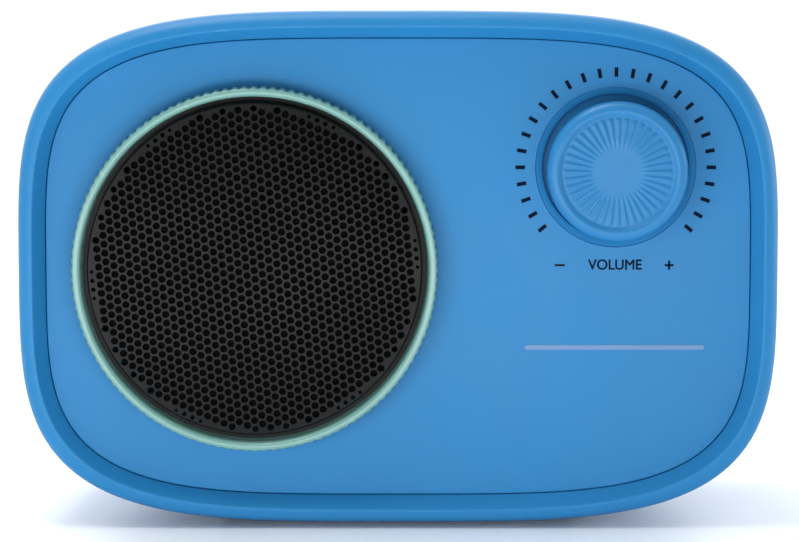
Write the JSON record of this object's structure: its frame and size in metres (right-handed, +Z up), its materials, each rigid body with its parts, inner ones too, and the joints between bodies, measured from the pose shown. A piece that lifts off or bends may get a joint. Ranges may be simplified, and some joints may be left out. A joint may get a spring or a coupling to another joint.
{
  "type": "retro portable radio",
  "caption": "Retro-style portable radio with a round perforated speaker grille in a serrated trim ring, a ribbed volume knob, rear tuning and switches, battery door and telescopic aerial.",
  "frame": {"origin": "on the surface the radio stands on, under the middle of its width and depth", "axes": "+X to the right seen from the front, +Y from the front to the back, +Z up; the front faces -Y"},
  "size_m": [0.16, 0.069, 0.1094],
  "materials": {
    "cabinet_blue": "satin moulded plastic, fine even texture",
    "knob_blue": "satin moulded plastic",
    "mint_trim": "semi-gloss pale mint plastic",
    "grille_black": "black powder coat on perforated steel",
    "cloth_black": "thin black acoustic cloth",
    "print_black": "pad-printed ink",
    "print_pale": "pad-printed ink",
    "foot_rubber": "matte rubber",
    "screw_steel": "zinc-plated steel",
    "basket_steel": "black stamped steel",
    "plate_steel": "plated steel",
    "ferrite": "matte ferrite",
    "cone_paper": "pressed paper pulp",
    "coil_copper": "enamelled copper wire",
    "spider_cloth": "resin-treated cloth",
    "terminal_board": "phenolic board with tinned tags",
    "shaft_metal": "turned and pressed metal",
    "shaft_brass": "turned brass",
    "board_green": "solder mask over glass-epoxy board",
    "clear_plastic": "milky plastic",
    "black_plastic": "black plastic",
    "capacitor_sleeve": "shrink sleeve",
    "resistor_tan": "lacquered film resistor",
    "cell_jacket": "plain printed cell jacket with steel ends",
    "antenna_chrome": "polished chrome plate",
    "wire_red": "PVC-insulated wire",
    "wire_yellow": "PVC-insulated wire"
  },
  "bodies": {
    "radio": {"cabinet": "cabinet_blue", "front_panel": "cabinet_blue", "back_cover": "cabinet_blue", "trim_ring": "mint_trim", "speaker_grille": "grille_black", "grille_cloth": "cloth_black", "dial_marks": "print_black", "volume_legend": "print_black", "badge_bar": "print_pale", "rubber_feet": "foot_rubber", "speaker_gasket": "foot_rubber", "cone_surround": "foot_rubber", "case_screws": "screw_steel", "speaker_screws": "screw_steel", "board_screws": "screw_steel", "speaker_basket": "basket_steel", "speaker_top_plate": "plate_steel", "speaker_yoke": "plate_steel", "pot_nut": "plate_steel", "if_transformers": "plate_steel", "usb_port": "plate_steel", "battery_springs": "plate_steel", "battery_contacts": "plate_steel", "power_switch": "plate_steel", "band_switch": "plate_steel", "speaker_magnet": "ferrite", "ferrite_rod": "ferrite", "aerial_coil": "coil_copper", "speaker_spider": "spider_cloth", "speaker_terminals": "terminal_board", "volume_pot": "shaft_metal", "main_board": "board_green", "tuning_capacitor": "clear_plastic", "rod_clips": "clear_plastic", "transistors": "black_plastic", "amplifier_chip": "black_plastic", "aux_jack": "black_plastic", "battery_tray": "black_plastic", "capacitors": "capacitor_sleeve", "resistors": "resistor_tan", "battery_cells": "cell_jacket", "speaker_leads": "wire_red", "battery_leads": "wire_red", "volume_leads": "wire_yellow", "antenna_lead": "wire_yellow"},
    "volume_control": {"volume_knob": "knob_blue", "volume_shaft": "shaft_metal"},
    "tuning_control": {"tuning_knob": "knob_blue", "tuning_shaft": "shaft_brass"},
    "power_slider": {"power_slider": "black_plastic"},
    "band_slider": {"band_slider": "black_plastic"},
    "battery_door": {"battery_door": "cabinet_blue"},
    "speaker_cone": {"speaker_cone": "cone_paper", "dust_cap": "cone_paper", "voice_coil": "coil_copper"},
    "antenna_swivel": {"antenna_swivel": "antenna_chrome", "antenna_pin": "screw_steel"},
    "antenna_outer": {"antenna_outer_tube": "antenna_chrome"},
    "antenna_middle": {"antenna_middle_tube": "antenna_chrome"},
    "antenna_inner": {"antenna_inner_rod": "antenna_chrome"}
  },
  "joints": [
    {"name": "volume_turn", "type": "hinge", "parent": "radio", "child": "volume_control", "pos_m": [0.0458, -0.0295, 0.0765], "axis": [0, 1, 0], "range_deg": [-130, 130]},
    {"name": "tuning_turn", "type": "hinge", "parent": "radio", "child": "tuning_control", "pos_m": [0.037, 0.0315, 0.0592], "axis": [0, -1, 0], "range_deg": [-90, 90]},
    {"name": "power_slide", "type": "slide", "parent": "radio", "child": "power_slider", "axis": [1, 0, 0], "range_m": [0, 0.0035]},
    {"name": "band_slide", "type": "slide", "parent": "radio", "child": "band_slider", "axis": [1, 0, 0], "range_m": [0, 0.0035]},
    {"name": "battery_door_hinge", "type": "hinge", "parent": "radio", "child": "battery_door", "pos_m": [0, 0.0323, 0.0172], "axis": [-1, 0, 0], "range_deg": [0, 90]},
    {"name": "cone_travel", "type": "slide", "parent": "radio", "child": "speaker_cone", "axis": [0, 1, 0], "range_m": [-0.0012, 0.0012], "stiffness_N_per_m": 900, "deforming": ["cone_surround", "speaker_spider"]},
    {"name": "antenna_turn", "type": "hinge", "parent": "radio", "child": "antenna_swivel", "pos_m": [0.05, 0.0303, 0.0867], "axis": [0, 1, 0], "range_deg": [0, 180]},
    {"name": "antenna_elbow", "type": "hinge", "parent": "antenna_swivel", "child": "antenna_outer", "pos_m": [0.05, 0.0303, 0.0867], "axis": [0, 0, -1], "range_deg": [0, 90]},
    {"name": "antenna_middle_slide", "type": "slide", "parent": "antenna_outer", "child": "antenna_middle", "axis": [-1, 0, 0], "range_m": [0, 0.072]},
    {"name": "antenna_inner_slide", "type": "slide", "parent": "antenna_middle", "child": "antenna_inner", "axis": [-1, 0, 0], "range_m": [0, 0.07]}
  ]
}
